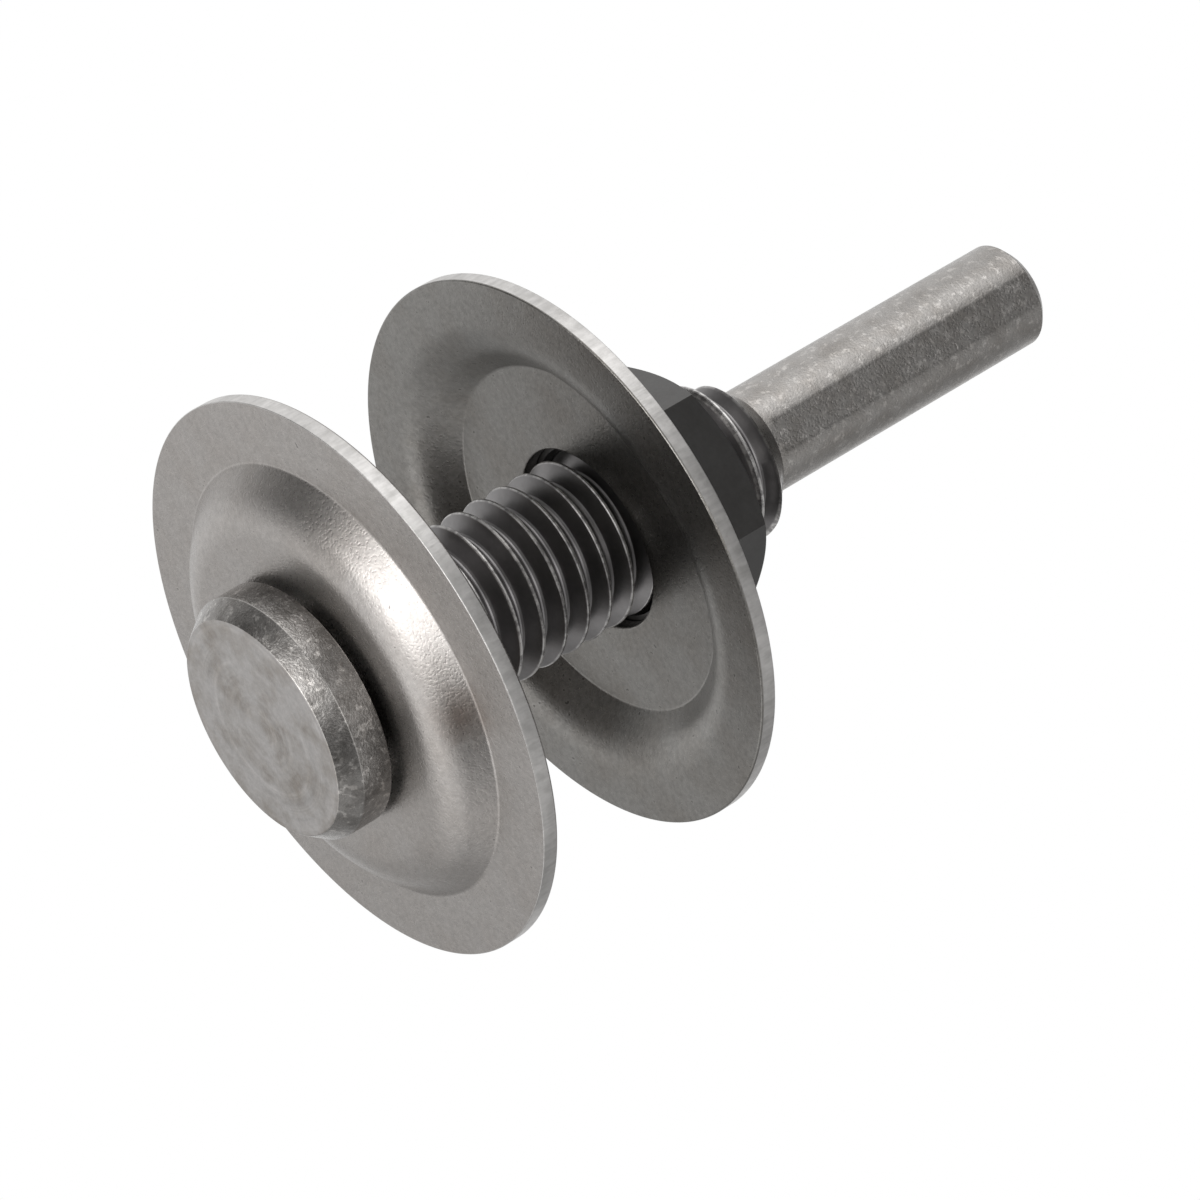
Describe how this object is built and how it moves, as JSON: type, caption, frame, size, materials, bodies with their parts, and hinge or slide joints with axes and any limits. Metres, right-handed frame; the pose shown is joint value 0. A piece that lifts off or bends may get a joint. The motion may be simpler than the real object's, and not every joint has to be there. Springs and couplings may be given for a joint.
{
  "type": "cutting disc mandrel",
  "caption": "Headed, threaded arbor with a round drive shank that clamps a cutting disc between two dished flanges with a thin hexagon nut.",
  "frame": {"origin": "centre of the head's end face, which it stands on", "axes": "+Z along the arbor from the head to the shank's tip; -Y faces the first of the shank's three flats"},
  "size_m": [0.033, 0.033, 0.055],
  "materials": {
    "arbor_steel": "turned and worn, satin",
    "flange_steel": "pressed sheet, dull satin",
    "nut_steel": "blackened, satin"
  },
  "bodies": {
    "arbor": {"arbor": "arbor_steel"},
    "front_flange": {"front_flange": "flange_steel"},
    "rear_flange": {"rear_flange": "flange_steel"},
    "hex_nut": {"hex_nut": "nut_steel"}
  },
  "joints": [
    {"name": "front_flange_spin", "type": "hinge", "parent": "arbor", "child": "front_flange", "pos_m": [0, 0, 0.0035], "axis": [0, 0, 1], "continuous": true},
    {"name": "rear_flange_travel", "type": "slide", "parent": "arbor", "child": "rear_flange", "axis": [0, 0, 1], "range_m": [-0.0142, 0.004]},
    {"name": "nut_turn", "type": "hinge", "parent": "rear_flange", "child": "hex_nut", "pos_m": [0, 0, 0.02365], "axis": [0, 0, 1], "range_deg": [-900, 3200]}
  ],
  "couplings": [
    {"joint": "rear_flange_travel", "follows": "nut_turn", "m_per_rad": -0.00025266}
  ]
}
